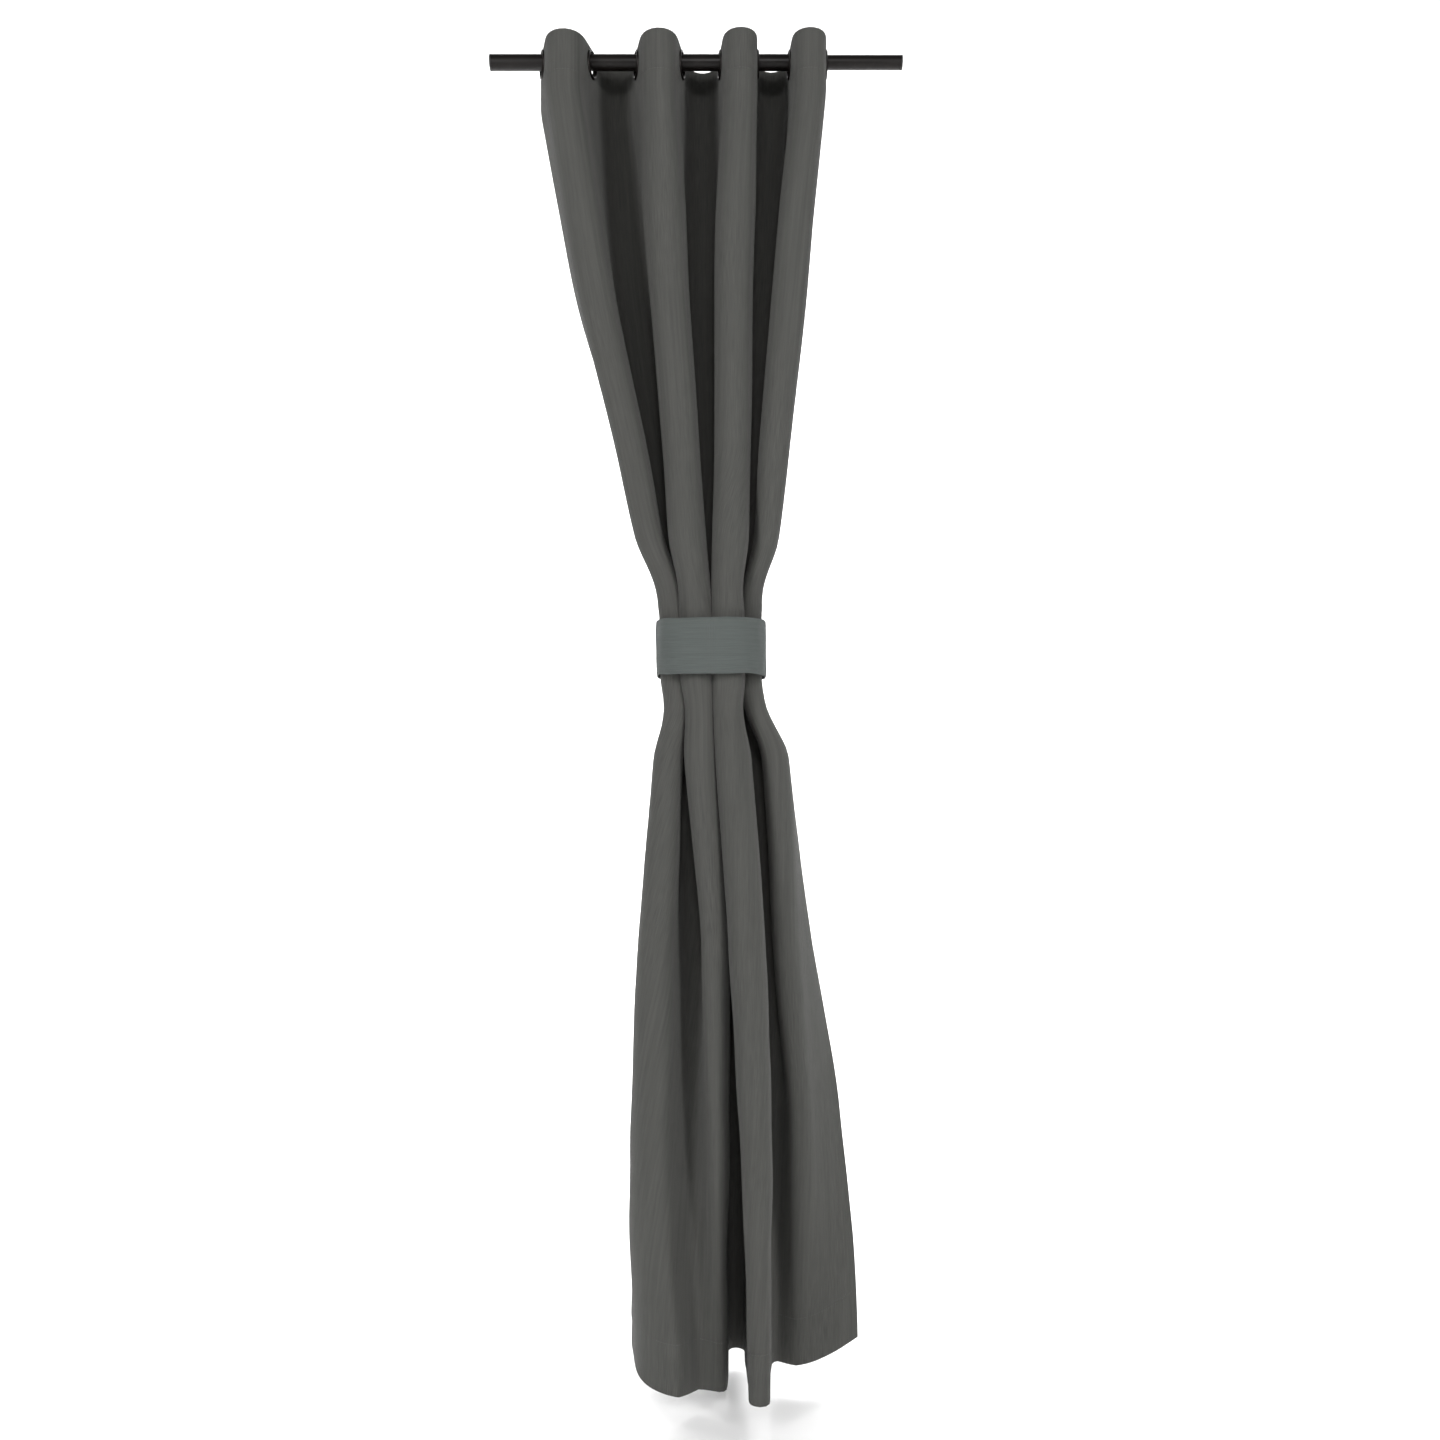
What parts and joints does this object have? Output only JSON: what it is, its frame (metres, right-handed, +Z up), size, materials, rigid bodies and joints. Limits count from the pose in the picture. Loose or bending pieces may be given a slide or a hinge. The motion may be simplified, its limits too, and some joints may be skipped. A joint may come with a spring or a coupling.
{
  "type": "eyelet curtain panel with tieback and rod",
  "caption": "Floor-length eyelet curtain panel in charcoal woven cloth, folded on a telescopic rod and gathered by a tieback.",
  "frame": {"origin": "on the rod's axis at mid length, where wall brackets hold the rod", "axes": "+X to the right along the rod, -Y into the room (the cloth's face), +Z up"},
  "size_m": [0.751, 0.4278, 2.4443],
  "materials": {
    "cloth": "plain-woven charcoal curtain cloth, matt, with slubs along the drop",
    "band_cloth": "the same cloth, double and interlined",
    "stiffener": "stiff woven buckram, hidden in the heading",
    "rod_paint": "steel tube, dark satin powder coat",
    "plug_plastic": "moulded plug",
    "eyelet_metal": "dark gunmetal-coloured pressed ring",
    "fastener": "hook and loop tape"
  },
  "bodies": {
    "rod_outer": {"rod_outer_tube": "rod_paint", "end_plug_left": "plug_plastic"},
    "rod_inner": {"rod_inner_tube": "rod_paint", "end_plug_right": "plug_plastic"},
    "panel": {"curtain_cloth": "cloth", "header_buckram": "stiffener", "tieback_band": "band_cloth", "tieback_loop_strip": "fastener", "tieback_hook_strip": "fastener", "eyelet_1_front": "eyelet_metal", "eyelet_1_back": "eyelet_metal"},
    "eyelet_2": {"eyelet_2_front": "eyelet_metal", "eyelet_2_back": "eyelet_metal"},
    "eyelet_3": {"eyelet_3_front": "eyelet_metal", "eyelet_3_back": "eyelet_metal"},
    "eyelet_4": {"eyelet_4_front": "eyelet_metal", "eyelet_4_back": "eyelet_metal"},
    "eyelet_5": {"eyelet_5_front": "eyelet_metal", "eyelet_5_back": "eyelet_metal"},
    "eyelet_6": {"eyelet_6_front": "eyelet_metal", "eyelet_6_back": "eyelet_metal"},
    "eyelet_7": {"eyelet_7_front": "eyelet_metal", "eyelet_7_back": "eyelet_metal"},
    "eyelet_8": {"eyelet_8_front": "eyelet_metal", "eyelet_8_back": "eyelet_metal"}
  },
  "joints": [
    {"name": "rod_telescope", "type": "slide", "parent": "rod_outer", "child": "rod_inner", "axis": [1, 0, 0], "range_m": [0, 0.12]},
    {"name": "panel_slide", "type": "slide", "parent": "rod_outer", "child": "panel", "axis": [1, 0, 0], "range_m": [-0.06, 0.12]},
    {"name": "eyelet_2_slide", "type": "slide", "parent": "panel", "child": "eyelet_2", "axis": [-1, 0, 0], "range_m": [0, 0.0095]},
    {"name": "eyelet_3_slide", "type": "slide", "parent": "panel", "child": "eyelet_3", "axis": [-1, 0, 0], "range_m": [0, 0.0281]},
    {"name": "eyelet_4_slide", "type": "slide", "parent": "panel", "child": "eyelet_4", "axis": [-1, 0, 0], "range_m": [0, 0.05]},
    {"name": "eyelet_5_slide", "type": "slide", "parent": "panel", "child": "eyelet_5", "axis": [-1, 0, 0], "range_m": [0, 0.0703]},
    {"name": "eyelet_6_slide", "type": "slide", "parent": "panel", "child": "eyelet_6", "axis": [-1, 0, 0], "range_m": [0, 0.0857]},
    {"name": "eyelet_7_slide", "type": "slide", "parent": "panel", "child": "eyelet_7", "axis": [-1, 0, 0], "range_m": [0, 0.0962]},
    {"name": "heading_gather", "type": "slide", "parent": "panel", "child": "eyelet_8", "axis": [-1, 0, 0], "range_m": [0, 0.1], "deforming": ["curtain_cloth", "header_buckram", "tieback_band", "tieback_loop_strip", "tieback_hook_strip"]}
  ],
  "couplings": [
    {"joint": "eyelet_2_slide", "follows": "heading_gather", "ratio": 0.0898},
    {"joint": "eyelet_3_slide", "follows": "heading_gather", "ratio": 0.2763},
    {"joint": "eyelet_4_slide", "follows": "heading_gather", "ratio": 0.4953},
    {"joint": "eyelet_5_slide", "follows": "heading_gather", "ratio": 0.6981},
    {"joint": "eyelet_6_slide", "follows": "heading_gather", "ratio": 0.8523},
    {"joint": "eyelet_7_slide", "follows": "heading_gather", "ratio": 0.9573}
  ]
}
